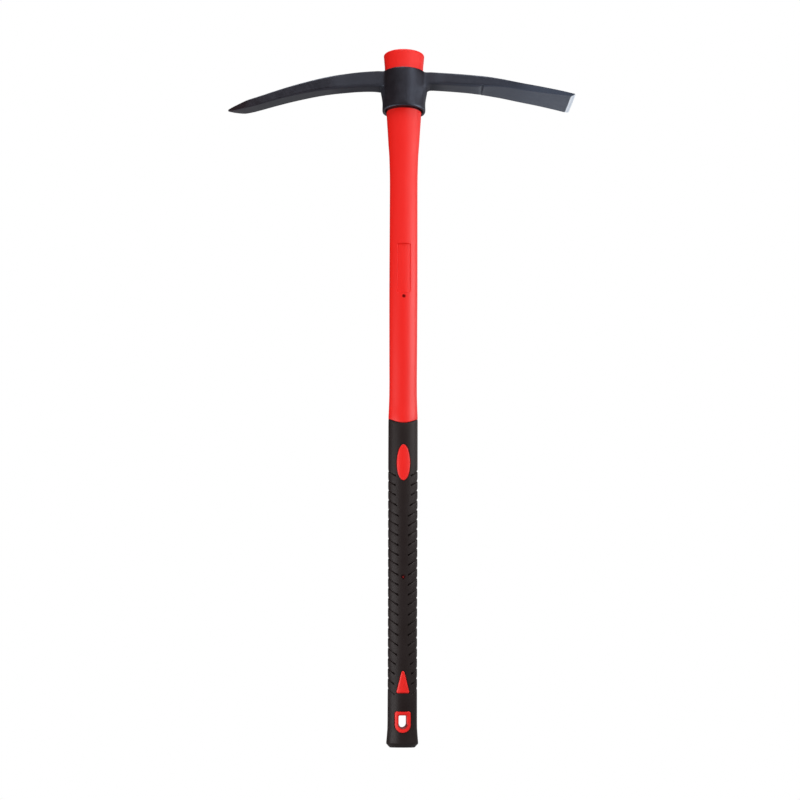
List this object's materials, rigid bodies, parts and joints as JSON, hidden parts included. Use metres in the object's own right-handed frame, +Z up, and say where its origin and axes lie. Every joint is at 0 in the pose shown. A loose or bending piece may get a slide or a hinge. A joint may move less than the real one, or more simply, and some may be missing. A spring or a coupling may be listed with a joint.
{
  "type": "pickaxe",
  "caption": "Pickaxe with a forged head, one pointed arm and one flared blade, on an oval fibreglass handle with a red plastic jacket and a black rubber grip.",
  "frame": {"origin": "centre of the flat end face of the handle's butt", "axes": "+Z up the handle to the head, -X along the pick arm, +X along the blade arm, -Y out of the face with the label panel"},
  "size_m": [0.457, 0.0566, 0.9],
  "materials": {
    "head_enamel": "satin charcoal enamel over a forged surface, bright ground edge on the blade",
    "jacket_plastic": "satin moulded red",
    "core_fibreglass": "sawn pale yellow glass fibre and resin",
    "grip_rubber": "matt soft black"
  },
  "bodies": {
    "handle": {"handle_jacket": "jacket_plastic", "fibreglass_core": "core_fibreglass", "rubber_grip": "grip_rubber"},
    "head": {"pick_head": "head_enamel"}
  },
  "joints": [
    {"name": "head_slide", "type": "slide", "parent": "handle", "child": "head", "axis": [0, 0, -1], "range_m": [0, 0.812]}
  ]
}
